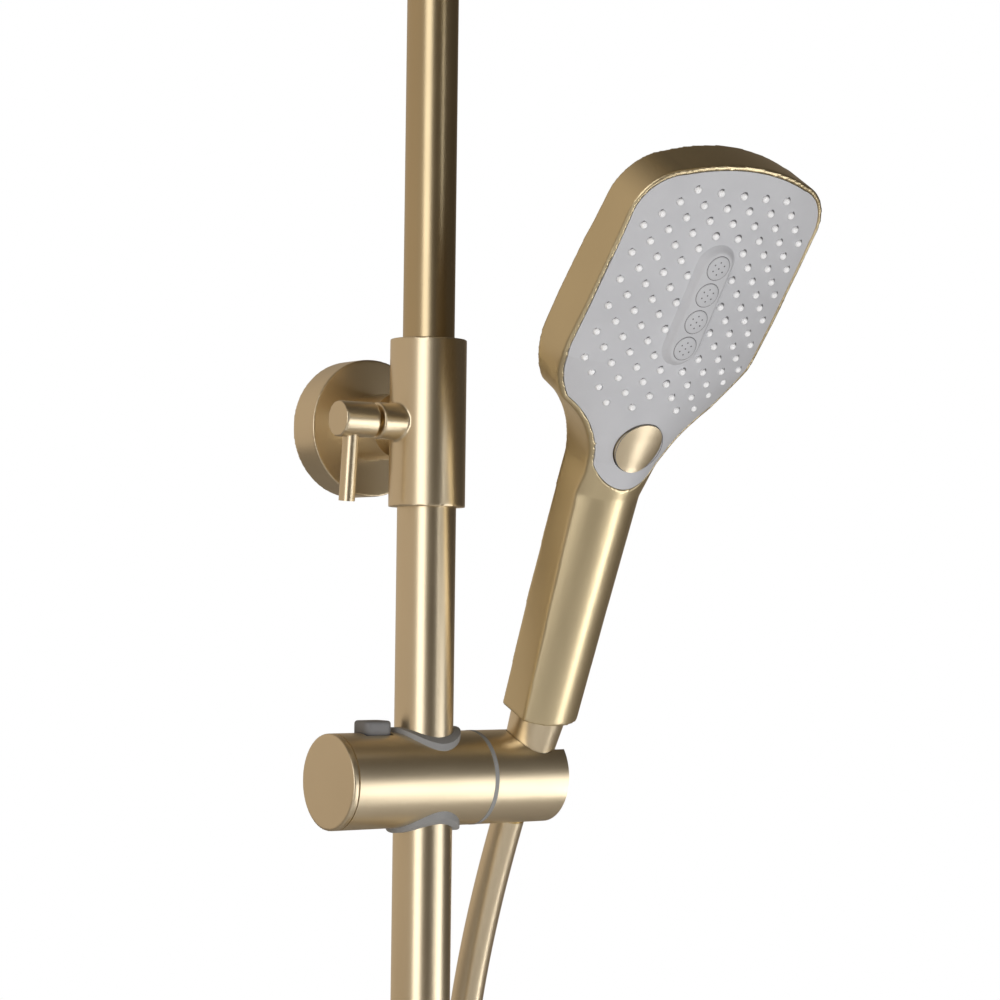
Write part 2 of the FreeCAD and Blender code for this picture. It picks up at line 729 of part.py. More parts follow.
def holder():
    left = size("slider_right + swivel_thick + 2*joint_gap - seat_offset")
    drum = cylinder(
        "slider_radius", "holder_right - slider_right - swivel_thick - 2*joint_gap",
        in_seat(left, 0, 0, "+x"),
    )
    reach = size("slot_reach")
    bore = primitive("Cone", in_seat(0, 0, -reach), Height="2*slot_reach")
    bore.Radius1 = seat_radius(-reach) + size("seat_gap")
    bore.Radius2 = seat_radius(reach) + size("seat_gap")
    slot = primitive(
        "Wedge", seat.multiply(Placement(Vector(), Rotation(Vector(1, 0, 0), 90))),
        Ymin="-1*slot_reach", Ymax="slot_reach", Zmin="-1*slot_bottom", Zmax="slot_bottom",
        Z2min="-1*slot_top", Z2max="slot_top", Xmax="slider_radius", X2max="slider_radius",
    )
    slot.Xmin = 0
    slot.X2min = 0
    axle_bore = cylinder("axle_radius + running_gap", "slider_radius", in_seat(left, 0, 0, "+x"))
    head_x = size("axle_root + axle_shank - seat_offset - joint_gap")
    head_bore = cylinder("axle_head_radius + slide_gap", "0.6*slider_radius",
                         in_seat(head_x, 0, 0, "+x"))
    node(cut(drum, bore, slot, axle_bore, head_bore), "handset_holder")


def cone_nut():
    hollow = "hose_radius + joint_gap"
    length = "nut_top + nut_bottom"
    depth = "nut_top + nut_bottom - thread_length - washer_thick"
    nut = turned(
        in_seat(0, 0, -size("nut_bottom")),
        (hollow, "0"), ("nut_bottom_radius", "0"), ("nut_top_radius", length),
        ("thread_radius", length), ("thread_radius", depth), (hollow, depth),
    )
    node(nut, "cone_nut")
    collar_face = size("nut_top - thread_length")
    tail_length = collar_face + size("tail_end")
    node(hose_tail(in_seat(0, 0, collar_face, "-z"), tail_length), "hose_tail_upper")
    washer = ring("tail_bore", "spigot_radius", "washer_thick", in_seat(0, 0, collar_face))
    node(washer, "hose_washer")


# ---------------------------------------------------------------- handset
# Sections across the handset, in the seat's frame: height on the axis, how far forward the
# front's middle is, half the width, how far the front falls back to its edges, how far forward
# the back's middle is, and how far the back comes forward to its edges.
HANDSET_SECTIONS = [
    (30.7, 14.2, 15.9, 6.9, -10.0, 2.0),
    (80.0, 12.8, 17.0, 8.3, -12.0, 2.0),
    (134.0, 11.6, 18.6, 10.4, -12.5, 2.0),
    (150.0, 13.6, 21.0, 9.0, -12.5, 2.5),
    (163.0, 15.6, 30.0, 10.8, -12.5, 2.5),
    (177.0, 17.9, 47.0, 16.4, -12.0, 0.5),
    (195.0, 20.7, 53.0, 11.4, -9.5, 2.5),
    (218.0, 24.3, 53.0, 8.4, -5.0, 3.2),
    (242.7, 28.25, 53.0, 6.2, 1.5, 3.4),
    (268.0, 32.25, 53.0, 4.5, 9.0, 3.4),
    (294.0, 36.4, 53.0, 3.4, 17.5, 3.0),
]


def seat_point(across, forward, height):
    return Vector(across, -forward, height)


def skin(sections, front_shift, back_shift=None, depth=None):
    """A loft through the sections, its front moved forward and its back moved or kept near."""
    wires = []
    for height, front, half, fall, back, rise in sections:
        ahead = front + front_shift
        if depth is None:
            behind, lift = back + back_shift, rise
        else:
            behind, lift = ahead - depth, -fall
        corners = [
            seat_point(-half, ahead - fall, height), seat_point(half, ahead - fall, height),
            seat_point(half, behind + lift, height), seat_point(-half, behind + lift, height),
        ]
        front_arc = Part.Arc(corners[0], seat_point(0, ahead, height), corners[1])
        back_arc = Part.Arc(corners[2], seat_point(0, behind, height), corners[3])
        wires.append(Part.Wire([
            front_arc.toShape(), Part.makeLine(corners[1], corners[2]),
            back_arc.toShape(), Part.makeLine(corners[3], corners[0]),
        ]))
    return Part.makeLoft(wires, True, True)


def face_point(across, up, out=0.0):
    """A point on the plane of the spray face, up from its top jet and out from the plane."""
    lean = math.radians(size("face_angle"))
    forward = size("face_forward") + up * math.sin(lean) + out * math.cos(lean)
    height = size("face_height") + up * math.cos(lean) - out * math.sin(lean)
    return seat_point(across, forward, height)


def face_prism(wire):
    """An outline on the spray face's plane, carried through the whole handset."""
    reach = 80.0
    face = Part.Face(wire)
    way = face_point(0, 0, 1) - face_point(0, 0, 0)
    return face.translated(way * reach).extrude(way * (-2 * reach))


def handset_outline():
    """Head, neck and handle seen square on to the spray face, from the top, clockwise."""
    half, top = size("face_half"), size("face_top")
    neck, handle = size("neck_half"), size("handle_half")
    corner = size("face_corner")
    bottom = -(size("face_height") - 20)
    arc_points = [
        [(corner, top - 5.3), (half - 5.8, top - 12.6), (half - 0.6, top - 29)],
        [(half + 0.2, -43), (half - 3.5, -59), (half - 10.5, -70)],
        [(half - 10.5, -70), (neck + 8, -81.5), (neck + 0.4, -104)],
    ]

    def spot(side, pair):
        return face_point(side * pair[0], pair[1])

    edges = [Part.Arc(spot(-1, arc_points[0][0]), face_point(0, top), spot(1, arc_points[0][0]))]
    for side in (1, -1):
        for points in arc_points:
            edges.append(Part.Arc(*[spot(side, pair) for pair in points]))
        edges.append(Part.LineSegment(spot(side, arc_points[0][2]), spot(side, arc_points[1][0])))
        edges.append(Part.LineSegment(spot(side, arc_points[2][2]), spot(side, (handle, bottom))))
    edges.append(Part.LineSegment(spot(-1, (handle, bottom)), spot(1, (handle, bottom))))
    return Part.Wire(Part.__sortEdges__([edge.toShape() for edge in edges]))


def cover_prism(gap):
    """The grey cover's outline: inside the rim, ending in a round tongue over the neck."""
    inset = face_prism(handset_outline().makeOffset2D(-size("rim_width") + gap))
    middle = -size("select_drop") - 1.2
    radius = size("tongue_radius") + gap
    way = face_point(0, 0, 1) - face_point(0, 0, 0)
    tongue = Part.makeCylinder(radius, 160, face_point(0, middle, -80), way)
    upper = Part.Wire(Part.makePolygon([
        face_point(-80, middle), face_point(80, middle), face_point(80, 80),
        face_point(-80, 80), face_point(-80, middle),
    ]))
    return inset.common(tongue.fuse(face_prism(upper)))


def front_fall(across, up):
    """How far the spray face falls back at a point beside its middle line."""
    height = face_point(0, up).z
    for low, high in zip(HANDSET_SECTIONS, HANDSET_SECTIONS[1:]):
        if low[0] <= height <= high[0]:
            share = (height - low[0]) / (high[0] - low[0])
            curves = [entry[3] / entry[2] ** 2 for entry in (low, high)]
            return (curves[0] + share * (curves[1] - curves[0])) * across ** 2
    return 0.0


def peg(radius, across, up, inside, outside):
    """A round peg square to the spray face, from below its surface to above it."""
    fall = front_fall(across, up)
    start = face_point(across, up, -fall - inside)
    way = face_point(0, 0, 1) - face_point(0, 0, 0)
    return Part.makeCylinder(radius, inside + outside, start, way)


def spray_spots():
    """Seventeen staggered rows of nozzles, left out where the middle strip of jets is."""
    pitch, row_pitch = size("spray_pitch"), size("jet_pitch") / 2
    spots = []
    for number in range(1, 18):
        shift = 0.5 if number % 2 == 0 else 0.0
        widest = {1: 2, 2: 2.5, 3: 3, 15: 3, 16: 2.5, 17: 2}.get(number, 3.5 if shift else 3)
        step = -widest
        while step <= widest:
            in_strip = 5 <= number <= 13 and abs(step) < 1
            if not in_strip and not (number == 17 and step == 0):
                spots.append((step * pitch, (6.05 - number) * row_pitch))
            step += 1
    return spots


def jet_spots():
    return [(0.0, -number * size("jet_pitch")) for number in range(4)]


def handset():
    upper = HANDSET_SECTIONS[2:]
    outside = skin(HANDSET_SECTIONS, 0, back_shift=0).common(face_prism(handset_outline()))
    recess_depth = size("cover_inset + cover_thick")
    recess = skin(upper, 6, depth=6 + recess_depth).common(cover_prism(size("joint_gap")))
    chamber_outline = handset_outline().makeOffset2D(-6)
    chamber = skin(HANDSET_SECTIONS[6:], -recess_depth + 0.1, back_shift=3.5)
    chamber = chamber.common(face_prism(chamber_outline))
    pocket = peg(size("select_radius") + 0.4, 0, -size("select_drop"), size("select_depth"), 6)
    nipple_hole = Part.makeCylinder(size("spigot_radius - 0.5"), 28, Vector(0, 0, 25))
    waterway = Part.makeCylinder(size("tail_bore") + 1, 160, Vector(0, 0, 40))
    shell = outside.cut([recess, chamber, pocket, nipple_hole, waterway])
    node(feature(shell, seat), "handset_shell")

    layer = skin(upper, -size("cover_inset"), depth=size("cover_thick"))
    cover = layer.common(cover_prism(0))
    holes = [peg(size("spray_radius") + 0.05, x, up, 8, 4) for x, up in spray_spots()]
    holes += [peg(size("jet_radius") + 0.05, x, up, 8, 4) for x, up in jet_spots()]
    holes.append(peg(size("select_radius") + 0.4, 0, -size("select_drop"), 8, 6))
    node(feature(cover.cut(holes), seat), "handset_face_cover")

    inside = size("cover_inset + cover_thick") - 1.2
    pegs = [
        peg(size("spray_radius"), x, up, inside, size("spray_proud")) for x, up in spray_spots()
    ]
    node(feature(Part.makeCompound(pegs), seat), "spray_nozzles")
    discs = [peg(size("jet_radius"), x, up, inside, 1.2) for x, up in jet_spots()]
    node(feature(Part.makeCompound(discs), seat), "jet_discs")

    drop = -size("select_drop")
    select = peg(size("select_radius"), 0, drop, size("select_thick"), 8)
    select = select.common(skin(upper, 0.6, depth=6))
    node(feature(select, seat), "spray_select_button")
    depth = size("select_depth")
    room = depth - size("select_thick + select_travel")
    valve = peg(5, 0, drop, depth, room - 0.2 - depth)
    node(feature(valve, seat), "spray_select_valve")
    outer = size("select_spring_radius")
    spring = peg(outer, 0, drop, depth, room - 0.1 - depth)
    spring = spring.cut(peg(outer - 1, 0, drop, depth, room - 0.1 - depth))
    node(feature(spring, seat), "spray_select_spring")

    thread = "thread_radius - running_gap"
    low, length = "nut_top - thread_length + washer_thick + joint_gap", "nipple_length"
    step = "thread_length - washer_thick + joint_gap"
    spigot = "spigot_radius - 0.5"
    nipple = turned(
        in_seat(0, 0, size(low)),
        ("tail_bore", "0"), (thread, "0"), (thread, step), (spigot, step), (spigot, length),
        ("tail_bore", length),
    )
    node(nipple, "handset_inlet_nipple")


# ---------------------------------------------------------------- hose
def hose_points():
    """The hose's corner points, from the cone nut's tail down, round the loop and up."""
    top = in_seat(0, 0, -size("tail_end")).Base
    return [
        top,
        Vector(51, -8.2, -263.7),
        Vector(56, -13, -400),
        Vector(71, -12, -538),
        Vector(94, -16, -684),
        Vector(115, -21, -828),
        Vector(127, -27, -912),
        Vector(128, -33, -984),
        Vector(94, -41, -1029),
        Vector(40, -48, -1044),
        Vector(-12, -55, -1022),
        Vector(-40, -59, -973),
        Vector(-30, -60, -902),
        Vector(0, column_y, hose_outlet_z - 74),
        Vector(0, column_y, hose_outlet_z),
    ]


def hose():
    """Straight runs joined by tangent arcs, each as large as its two runs allow."""
    points = hose_points()
    edges = []
    here = points[0]
    for before, corner, after in zip(points, points[1:], points[2:]):
        way_in = (corner - before).normalize()
        way_out = (after - corner).normalize()
        turn = way_in.getAngle(way_out)
        reach = 0.45 * min((corner - before).Length, (after - corner).Length)
        radius = reach / math.tan(turn / 2)
        start = corner - way_in * reach
        end = corner + way_out * reach
        inward = (way_out - way_in).normalize()
        middle = corner + inward * (radius / math.cos(turn / 2) - radius)
        edges.append(Part.makeLine(here, start))
        edges.append(Part.Arc(start, middle, end).toShape())
        here = end
    edges.append(Part.makeLine(here, points[-1]))
    path = Part.Wire(edges)
    length = path.Length
    radius = size("hose_radius")
    start_way = (points[1] - points[0]).normalize()
    profile = Part.Wire(Part.makeCircle(radius, points[0], start_way))
    tube = path.makePipeShell([profile], True, False)
    expected = math.pi * radius ** 2 * length
    print("hose: length %.0f mm, volume off by %.2f %%" % (
        length, 100 * (tube.Volume / expected - 1)))
    node(feature(tube), "hose")


# ---------------------------------------------------------------- build, check and write
wall_brackets()
clamp_sleeve()
column_tube()
clamp()
diverter()
riser()
ball_joint()
rain_head()
slider()
holder()
cone_nut()
handset()
hose()
doc.recompute()

for item in doc.Objects:
    if "Invalid" in item.State or "Error" in item.State:
        raise RuntimeError("%s failed: %s" % (item.Label, item.State))
for item in nodes:
    if item.Shape.isNull() or not item.Shape.isValid() or not item.Shape.Solids:
        raise RuntimeError("%s has no valid solid" % item.Label)

os.makedirs("parts", exist_ok=True)
for item in nodes:
    item.Shape.exportStep("parts/%s.step" % item.Label)
    print("%-24s %9.0f mm3, %d solids" % (item.Label, item.Shape.Volume, len(item.Shape.Solids)))
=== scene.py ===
"""Looks for the rainfall shower column: satin gold metal, grey spray face, hose, light, camera."""
import math

import bmesh
import bpy
from mathutils import Matrix, Vector


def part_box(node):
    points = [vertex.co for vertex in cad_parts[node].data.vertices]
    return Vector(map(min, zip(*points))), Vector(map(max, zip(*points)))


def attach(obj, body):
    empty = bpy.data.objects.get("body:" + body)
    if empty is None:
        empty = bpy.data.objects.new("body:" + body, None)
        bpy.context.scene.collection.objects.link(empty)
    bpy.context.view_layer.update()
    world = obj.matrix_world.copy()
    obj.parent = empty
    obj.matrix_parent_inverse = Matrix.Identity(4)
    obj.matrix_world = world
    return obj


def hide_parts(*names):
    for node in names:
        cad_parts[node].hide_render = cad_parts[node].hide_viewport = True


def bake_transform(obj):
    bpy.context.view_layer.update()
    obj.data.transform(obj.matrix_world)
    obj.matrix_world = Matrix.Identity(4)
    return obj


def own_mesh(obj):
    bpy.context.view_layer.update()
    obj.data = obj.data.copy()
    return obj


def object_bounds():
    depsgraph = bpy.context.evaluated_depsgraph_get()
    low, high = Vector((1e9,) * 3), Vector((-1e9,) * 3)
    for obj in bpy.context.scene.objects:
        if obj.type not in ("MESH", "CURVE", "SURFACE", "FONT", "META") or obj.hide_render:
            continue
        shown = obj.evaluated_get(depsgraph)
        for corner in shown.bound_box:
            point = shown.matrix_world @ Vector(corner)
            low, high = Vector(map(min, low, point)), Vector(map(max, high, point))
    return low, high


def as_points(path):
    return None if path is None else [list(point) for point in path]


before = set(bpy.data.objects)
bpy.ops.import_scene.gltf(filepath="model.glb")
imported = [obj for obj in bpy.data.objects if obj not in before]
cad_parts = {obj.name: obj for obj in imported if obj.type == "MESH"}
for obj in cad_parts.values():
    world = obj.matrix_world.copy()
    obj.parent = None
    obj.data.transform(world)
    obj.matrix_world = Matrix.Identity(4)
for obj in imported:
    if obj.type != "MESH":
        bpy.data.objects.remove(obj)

cad_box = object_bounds()
MM = 0.001
COLUMN_Y = -60  # the column's axis, in mm in front of the wall
scene = bpy.context.scene


def mm(x, y, z):
    """A point given in millimetres of the row's frame."""
    return Vector((x, y, z)) * MM


def centre(node):
    """The middle of a piece's box."""
    low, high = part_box(node)
    return (Vector(low) + Vector(high)) / 2


# ---------------------------------------------------------------- materials
NOISE_LOW = 0.3
NOISE_HIGH = 0.7


def blank(name, colour, metallic, roughness):
    """A Principled material, and the node that its colour and bump go to."""
    material = bpy.data.materials.new(name)
    material.use_nodes = True
    shader = material.node_tree.nodes["Principled BSDF"]
    shader.inputs["Base Color"].default_value = (*colour, 1)
    shader.inputs["Metallic"].default_value = metallic
    shader.inputs["Roughness"].default_value = roughness
    return material, shader


def noise(material, scale, detail=3.0, stretch=(1, 1, 1)):
    """Noise in the object's own space, stretched along its axes."""
    nodes, links = material.node_tree.nodes, material.node_tree.links
    place = nodes.new("ShaderNodeTexCoord")
    mapping = nodes.new("ShaderNodeMapping")
    mapping.inputs["Scale"].default_value = stretch
    texture = nodes.new("ShaderNodeTexNoise")
    texture.inputs["Scale"].default_value = scale
    texture.inputs["Detail"].default_value = detail
    links.new(place.outputs["Object"], mapping.inputs["Vector"])
    links.new(mapping.outputs["Vector"], texture.inputs["Vector"])
    return texture.outputs["Fac"]


def spread(material, value, low, high):
    """Maps noise from its usual low and high on to a range."""
    node = material.node_tree.nodes.new("ShaderNodeMapRange")
    node.inputs["From Min"].default_value = NOISE_LOW
    node.inputs["From Max"].default_value = NOISE_HIGH
    node.inputs["To Min"].default_value = low
    node.inputs["To Max"].default_value = high
    material.node_tree.links.new(value, node.inputs["Value"])
    return node.outputs["Result"]


def tint(material, shader, value, first, second):
    """Colour that wanders between two close tints."""
    ramp = material.node_tree.nodes.new("ShaderNodeValToRGB")
    ramp.color_ramp.elements[0].position = NOISE_LOW
    ramp.color_ramp.elements[0].color = (*first, 1)
    ramp.color_ramp.elements[1].position = NOISE_HIGH
    ramp.color_ramp.elements[1].color = (*second, 1)
    links = material.node_tree.links
    links.new(value, ramp.inputs["Fac"])
    links.new(ramp.outputs["Color"], shader.inputs["Base Color"])


def relief(material, shader, value, depth):
    """Fine bump, its depth in metres."""
    nodes, links = material.node_tree.nodes, material.node_tree.links
    bump = nodes.new("ShaderNodeBump")
    bump.inputs["Strength"].default_value = 0.5
    bump.inputs["Distance"].default_value = depth
    links.new(value, bump.inputs["Height"])
    links.new(bump.outputs["Normal"], shader.inputs["Normal"])


def satin_gold(name, colour, stretch, roughness):
    """Champagne-gold plating over a fine satin finish that runs along a piece."""
    material, shader = blank(name, colour, 1.0, roughness)
    second = [channel * 0.94 for channel in colour]
    tint(material, shader, noise(material, 14.0), colour, second)
    smudge = noise(material, 30.0, 2.0)
    rough = spread(material, smudge, roughness - 0.012, roughness + 0.012)
    material.node_tree.links.new(rough, shader.inputs["Roughness"])
    grain = noise(material, 1400.0, 2.0, stretch)
    relief(material, shader, grain, 0.00001)
    return material


def plastic(name, colour, second, roughness):
    """Moulded plastic or rubber with a faint mottle and a fine grain."""
    material, shader = blank(name, colour, 0.0, roughness)
    tint(material, shader, noise(material, 60.0), colour, second)
    smudge = noise(material, 90.0)
    rough = spread(material, smudge, roughness - 0.03, roughness + 0.05)
    material.node_tree.links.new(rough, shader.inputs["Roughness"])
    relief(material, shader, noise(material, 900.0), 0.00003)
    return material


def metal(name, colour, second, roughness):
    """Turned or wound metal with no plating."""
    material, shader = blank(name, colour, 1.0, roughness)
    tint(material, shader, noise(material, 40.0), colour, second)
    relief(material, shader, noise(material, 1500.0), 0.00003)
    return material


CHAMPAGNE = (0.83, 0.71, 0.51)
# painted shade: a darker copy of the champagne gold for the riser, standing in for the shade on it
RISER_SHADE_GOLD = (0.62, 0.50, 0.31)
# painted shade: a darker, more saturated copy of the champagne gold for the handset, standing in
# for the shade on its sides
HANDSET_SHADE_GOLD = (0.76, 0.64, 0.41)
GOLD = satin_gold("satin_gold", CHAMPAGNE, (1, 1, 1), 0.31)
GOLD_TUBE = satin_gold("satin_gold_tube", CHAMPAGNE, (1, 1, 0.08), 0.30)
GOLD_RISER = satin_gold("satin_gold_riser", RISER_SHADE_GOLD, (1, 1, 0.08), 0.30)
GOLD_DRUM = satin_gold("satin_gold_drum", CHAMPAGNE, (0.08, 1, 1), 0.34)
GOLD_HANDSET = satin_gold("satin_gold_handset", HANDSET_SHADE_GOLD, (1, 1, 0.2), 0.33)
GOLD_PLATE = satin_gold("satin_gold_plate", CHAMPAGNE, (1, 1, 1), 0.26)
HOSE = satin_gold("gold_hose_sheath", CHAMPAGNE, (1, 1, 1), 0.34)
BRASS = metal("bare_brass", (0.60, 0.42, 0.16), (0.68, 0.50, 0.22), 0.30)
STEEL = metal("steel", (0.52, 0.52, 0.53), (0.60, 0.60, 0.61), 0.32)
GREY_FACE = plastic("grey_spray_face", (0.50, 0.51, 0.54), (0.53, 0.54, 0.57), 0.42)
SILICONE = plastic("pale_silicone", (0.88, 0.89, 0.91), (0.92, 0.93, 0.95), 0.36)
# painted shadow: the dark grey of the rings under the spray nozzles, for the shade in their
# sockets
PAINTED_SOCKET_SHADOW = plastic("nozzle_socket_shadow_paint", (0.13, 0.13, 0.14), (0.15, 0.15, 0.16), 0.6)
# painted shade: the dark grey laid over gaps, seams and pinholes, where there is only shade
GAP_SHADOW_PAINT = plastic("shadow_grey", (0.10, 0.10, 0.11), (0.12, 0.12, 0.13), 0.7)
BUTTON_GREY = plastic("grey_button", (0.16, 0.16, 0.165), (0.19, 0.19, 0.195), 0.48)
GASKET = plastic("grey_gasket", (0.25, 0.25, 0.25), (0.29, 0.29, 0.29), 0.55)
RUBBER = plastic("black_rubber", (0.025, 0.025, 0.025), (0.04, 0.04, 0.04), 0.65)
NYLON = plastic("nylon", (0.78, 0.77, 0.72), (0.82, 0.81, 0.77), 0.45)


def dress(material, *names):
    """Puts a material on every slot of the CAD pieces named."""
    for name in names:
        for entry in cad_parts[name].material_slots:
            entry.material = material


dress(
    GOLD, "wall_flange_upper", "wall_flange_lower", "bracket_neck_upper", "inlet_neck_lower",
    "inlet_nut", "clamp_sleeve", "diverter_body", "hose_outlet_nut", "clamp_lever_head",
    "clamp_lever_pin", "diverter_lever_head", "diverter_lever_pin", "ball_nut", "cone_nut",
    "spray_select_button",
)
dress(GOLD_TUBE, "column_tube")
dress(GOLD_RISER, "riser_tube")
dress(GOLD_DRUM, "slider_body", "slider_end_cap", "handset_holder")
dress(GOLD_HANDSET, "handset_shell")
dress(GOLD_PLATE, "rain_head_cover", "rain_head_plate")
dress(
    BRASS, "hose_outlet_nipple", "riser_piston", "arm_outlet_nipple", "diverter_spool",
    "diverter_stem", "clamp_screw", "hose_tail_upper", "hose_tail_lower", "swivel_ball",
)
dress(STEEL, "wall_plate_upper", "bracket_grub_screw", "swivel_axle", "wave_washer")
dress(GREY_FACE, "handset_face_cover")
dress(GASKET, "tube_gasket_top", "tube_gasket_bottom", "swivel_ring")
dress(
    RUBBER, "inlet_washer", "outlet_washer", "piston_o_rings", "filter_washer", "hose_washer"
)
dress(
    NYLON, "guide_bush", "clamp_shoe", "ball_seat_cup", "brake_block", "spray_select_valve",
    "handset_inlet_nipple",
)


def soften(node, voxel, passes):
    """Rounds a cast piece's edges and evens its surface, its voxels given in mm."""
    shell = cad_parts[node]
    remesh = shell.modifiers.new("even_surface", "REMESH")
    remesh.mode = "VOXEL"
    remesh.voxel_size = voxel * MM
    remesh.use_smooth_shade = True
    smooth = shell.modifiers.new("soft_edges", "SMOOTH")
    smooth.factor = 0.5
    smooth.iterations = passes


soften("handset_shell", 0.7, 6)
for cast_piece in ("clamp_sleeve", "diverter_body", "slider_end_cap", "wall_flange_upper",
                   "wall_flange_lower", "clamp_lever_head", "diverter_lever_head"):
    soften(cast_piece, 0.5, 5)


# ---------------------------------------------------------------- mesh helpers
def add_mesh(name, mesh_data, material, body):
    """Puts a bmesh into the scene as a smooth-shaded piece that rides on a body."""
    mesh = bpy.data.meshes.new(name)
    bmesh.ops.recalc_face_normals(mesh_data, faces=mesh_data.faces)
    mesh_data.to_mesh(mesh)
    mesh_data.free()
    mesh.materials.append(material)
    for face in mesh.polygons:
        face.use_smooth = True
    piece = bpy.data.objects.new(name, mesh)
    scene.collection.objects.link(piece)
    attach(piece, body)
    return piece


def turn(data, profile, place, steps):
    """Adds a surface of revolution: (radius, height) pairs about the place's local Z."""
    rings = []
    for radius, height in profile:
        if radius == 0:
            rings.append([data.verts.new(place @ Vector((0, 0, height)))])
            continue
        ring = []
        for step in range(steps):
            angle = 2 * math.pi * step / steps
            spot = Vector((radius * math.cos(angle), radius * math.sin(angle), height))
            ring.append(data.verts.new(place @ spot))
        rings.append(ring)
    for first, second in zip(rings, rings[1:]):
        for step in range(steps):
            following = (step + 1) % steps
            corners = []
            for ring, index in ((first, step), (first, following), (second, following),
                                (second, step)):
                corner = ring[index % len(ring)]
                if corner not in corners:
                    corners.append(corner)
            data.faces.new(corners)


def along(point, direction):
    """A matrix at a point whose local Z is the direction."""
    turned = Vector(direction).to_track_quat("Z", "Y").to_matrix().to_4x4()
    return Matrix.Translation(point) @ turned


# ---------------------------------------------------------------- the handset's own frame
SEAT_TILT = math.radians(24.5)
FACE_ANGLE = math.radians(9.0)
SEAT = Matrix.Translation(mm(51, COLUMN_Y, -150)) @ Matrix.Rotation(SEAT_TILT, 4, "X")
FACE_HEIGHT = 242.7
FACE_FORWARD = 28.25
# how far the spray face falls back at its side edges: height on the seat's axis, half width, fall
FACE_CURVE = [
    (134.0, 18.6, 10.4), (150.0, 21.0, 9.0), (163.0, 30.0, 10.8), (177.0, 47.0, 16.4),
    (195.0, 53.0, 11.4), (218.0, 53.0, 8.4), (242.7, 53.0, 6.2), (268.0, 53.0, 4.5),
    (294.0, 53.0, 3.4),
]


def face_point(across, up, out=0.0):
    """A point on the spray face's plane, up from its top jet and out from the plane, in mm."""
    forward = FACE_FORWARD + up * math.sin(FACE_ANGLE) + out * math.cos(FACE_ANGLE)
    height = FACE_HEIGHT + up * math.cos(FACE_ANGLE) - out * math.sin(FACE_ANGLE)
    return SEAT @ mm(across, -forward, height)


FACE_OUT = (face_point(0, 0, 1) - face_point(0, 0, 0)).normalized()


def face_fall(across, up):
    """How far the spray face lies behind its plane at a point."""
    height = FACE_HEIGHT + up * math.cos(FACE_ANGLE)
    for low, high in zip(FACE_CURVE, FACE_CURVE[1:]):
        if low[0] <= height <= high[0]:
            share = (height - low[0]) / (high[0] - low[0])
            curves = [fall / half ** 2 for _, half, fall in (low, high)]
            return (curves[0] + share * (curves[1] - curves[0])) * across ** 2
    return 0.0


def on_face(across, up, out=0.0):
    """A place on the curved spray face, its local Z square to the face's plane."""
    spot = face_point(across, up, out - face_fall(across, up))
    return along(spot, FACE_OUT) @ Matrix.Scale(MM, 4)


# ---------------------------------------------------------------- spray nozzles and jets
SPRAY_PITCH = 11.46
JET_PITCH = 12.14
JET_ROW = 6.05  # the row number that lies level with the top jet
SHADOW_RING_SHIFT = (0.3, 0.42)  # the painted shadow ring shows on one side of its tip, where the socket's shade falls


def spray_spots():
    """Seventeen staggered rows, left out where the middle strip of jets is."""
    for row in range(1, 18):
        shift = 0.5 if row % 2 == 0 else 0.0
        widest = {1: 2, 2: 2.5, 3: 3, 15: 3, 16: 2.5, 17: 2}.get(row, 3.5 if shift else 3)
        step = -widest
        while step <= widest:
            in_strip = 5 <= row <= 13 and abs(step) < 1
            if not in_strip and not (row == 17 and step == 0):
                yield step * SPRAY_PITCH, (JET_ROW - row) * JET_PITCH / 2
            step += 1


def spray_nozzles():
    """Soft tips that stand a little out of the cover, each over a dark ring of painted shadow for
    the shade in its socket.
    """
    tips = bmesh.new()
    sockets = bmesh.new()
    tip_profile = [
        (1.45, -1.4), (1.45, -0.1), (1.38, 0.35), (1.15, 0.72), (0.8, 0.88), (0.45, 0.84),
        (0, 0.5),
    ]
    # painted shadow: a flat dark ring under each tip, set off to one side so that a crescent of
    # shade shows
    socket_profile = [(1.62, -0.27), (1.0, -0.27)]
    shift_across, shift_up = SHADOW_RING_SHIFT
    for across, up in spray_spots():
        turn(tips, tip_profile, on_face(across, up), 14)
        socket_place = on_face(across + shift_across, up + shift_up)
        turn(sockets, socket_profile, socket_place, 18)
    tips = add_mesh("spray_nozzle_tips", tips, SILICONE, "handset")
    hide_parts("spray_nozzles")
    add_mesh("spray_nozzle_shadow_rings", sockets, PAINTED_SOCKET_SHADOW, "handset")


STRIP_TOP = 2.15
JET_RADIUS = 5.2
PINHOLE_RING = 2.7
SELECT_UP = -84.8  # the spray button's middle, from the top jet


def jet_strip():
    """The raised strip round the four jets, with soft sides."""
    data = bmesh.new()
    sides = [(9.4, -0.6), (8.9, -0.1), (8.3, 0.35), (7.6, 1.1), (7.0, 1.75), (6.5, 2.05),
             (6.0, STRIP_TOP)]
    low_end = -3 * JET_PITCH
    steps = 40
    rings = []
    for reach, out in sides:
        ring = []
        for step in range(steps + 1):
            angle = math.pi * step / steps
            across, up = reach * math.cos(angle), reach * math.sin(angle)
            ring.append(data.verts.new(face_point(across, up, out)))
        for step in range(steps + 1):
            angle = math.pi * (1 + step / steps)
            across, up = reach * math.cos(angle), low_end + reach * math.sin(angle)
            ring.append(data.verts.new(face_point(across, up, out)))
        rings.append(ring)
    for first, second in zip(rings, rings[1:]):
        for step in range(len(first)):
            following = (step + 1) % len(first)
            data.faces.new((first[step], first[following], second[following], second[step]))
    data.faces.new(rings[-1])
    add_mesh("jet_strip_ridge", data, GREY_FACE, "handset")


